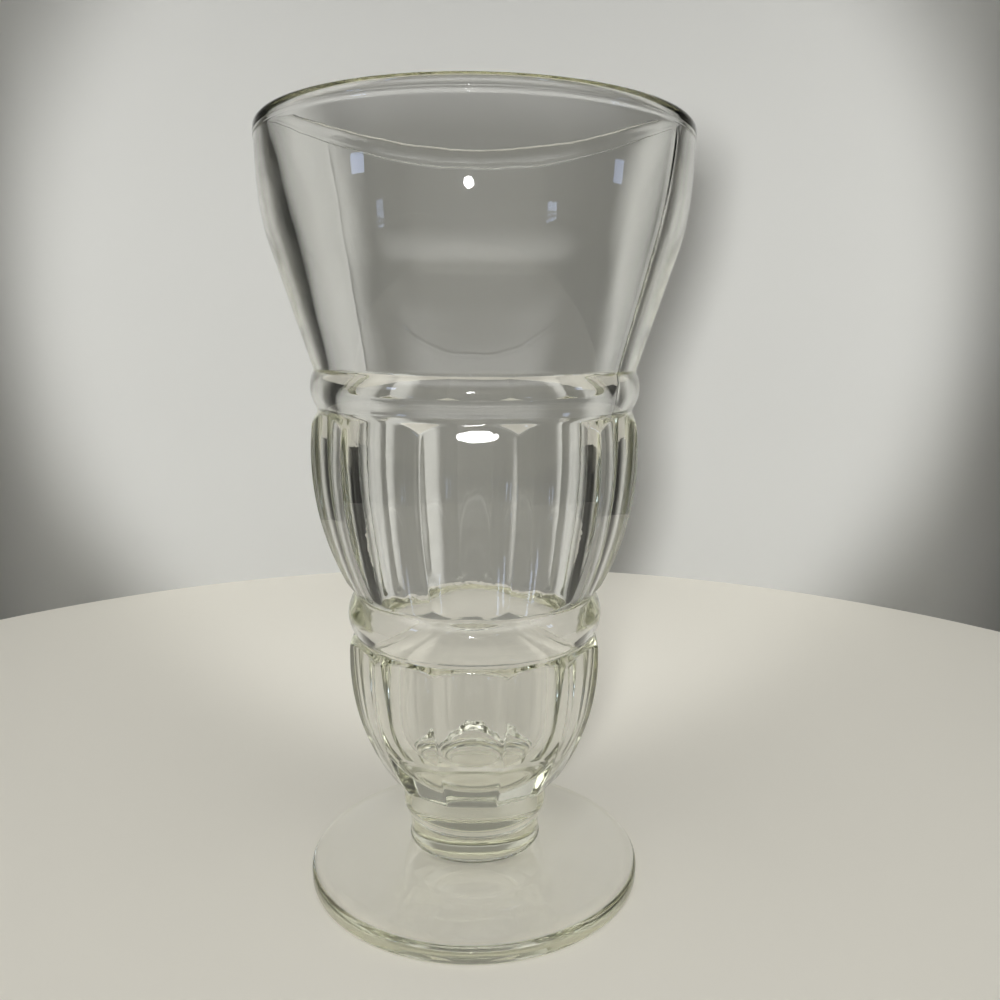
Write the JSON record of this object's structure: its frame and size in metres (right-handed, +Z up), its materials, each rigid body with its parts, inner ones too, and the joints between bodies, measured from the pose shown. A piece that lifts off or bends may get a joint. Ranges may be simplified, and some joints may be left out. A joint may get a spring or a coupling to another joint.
{
  "type": "sundae glass",
  "caption": "Clear pressed sundae glass with a smooth flared mouth, panelled tiers parted by ring beads, and a short collar on a wide round foot.",
  "frame": {"origin": "centre of the plane that the foot stands on", "axes": "+Z up along the axis of the glass; a panel faces -Y, the way the picture looks at the glass"},
  "size_m": [0.0954, 0.0954, 0.1738],
  "materials": {
    "clear_glass": "fire-polished"
  },
  "bodies": {
    "root": {"bowl": "clear_glass", "foot": "clear_glass"}
  },
  "joints": []
}
